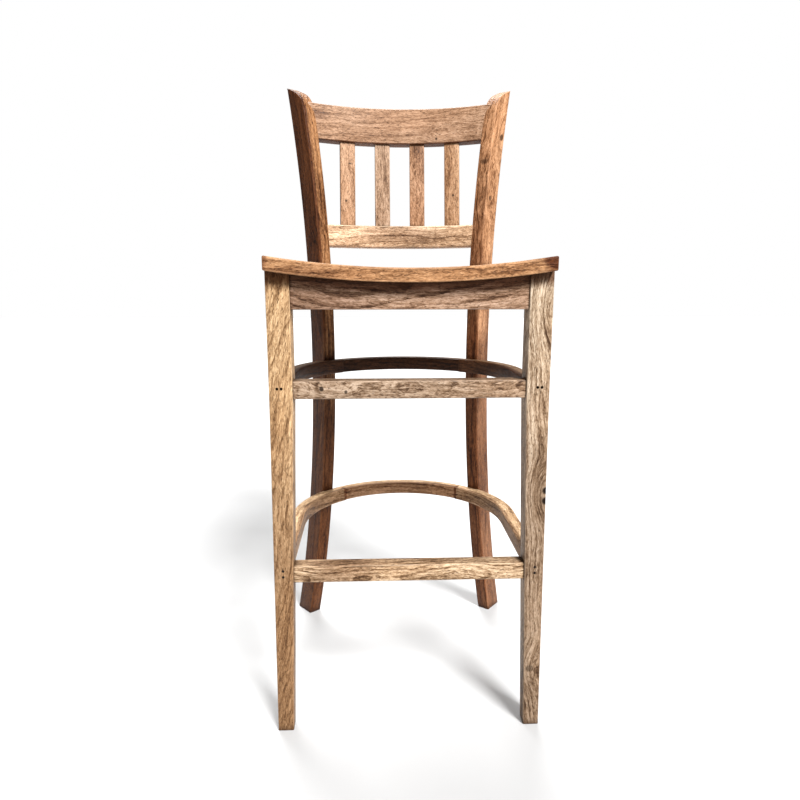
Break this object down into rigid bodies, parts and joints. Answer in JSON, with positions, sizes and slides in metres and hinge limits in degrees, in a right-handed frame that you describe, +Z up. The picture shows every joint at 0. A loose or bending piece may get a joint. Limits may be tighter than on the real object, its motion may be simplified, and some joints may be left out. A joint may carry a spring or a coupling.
{
  "type": "bar stool",
  "caption": "Wooden bar stool with a saddle seat, a low slatted back, tapered front legs, bowed back posts, a front footrest rail and bent hoop stretchers.",
  "frame": {"origin": "on the floor under the middle of the stool's bounding box", "axes": "+Z up, the sitter faces -Y, +X to the right as seen from the front"},
  "size_m": [0.4638, 0.4652, 1.1139],
  "materials": {
    "seat_wood": "satin clear lacquer over natural, uneven grain",
    "leg_wood": "satin clear lacquer over natural, uneven grain",
    "post_wood": "satin clear lacquer over natural, uneven grain",
    "rail_wood": "satin clear lacquer over natural, uneven grain",
    "hoop_wood": "satin clear lacquer over natural, uneven grain",
    "back_wood": "satin clear lacquer over natural, uneven grain",
    "block_wood": "bare, unfinished wood",
    "dark_steel": "dark oxidised steel",
    "screw_steel": "zinc plated steel"
  },
  "bodies": {
    "root": {"seat": "seat_wood", "front_left_leg": "leg_wood", "front_right_leg": "leg_wood", "left_back_post": "post_wood", "right_back_post": "post_wood", "front_apron": "rail_wood", "rear_apron": "rail_wood", "left_side_apron": "rail_wood", "right_side_apron": "rail_wood", "front_left_corner_block": "block_wood", "front_right_corner_block": "block_wood", "rear_left_corner_block": "block_wood", "rear_right_corner_block": "block_wood", "upper_front_stretcher": "rail_wood", "footrest_stretcher": "rail_wood", "upper_hoop_back": "hoop_wood", "upper_hoop_left": "hoop_wood", "upper_hoop_right": "hoop_wood", "lower_hoop_back": "hoop_wood", "lower_hoop_left": "hoop_wood", "lower_hoop_right": "hoop_wood", "crest_rail": "back_wood", "lower_back_rail": "back_wood", "back_slat_1": "back_wood", "back_slat_2": "back_wood", "back_slat_3": "back_wood", "back_slat_4": "back_wood", "stretcher_nails": "dark_steel", "hoop_screws": "screw_steel", "hoop_dowels": "block_wood", "block_screws": "screw_steel", "seat_screws": "screw_steel"}
  },
  "joints": []
}
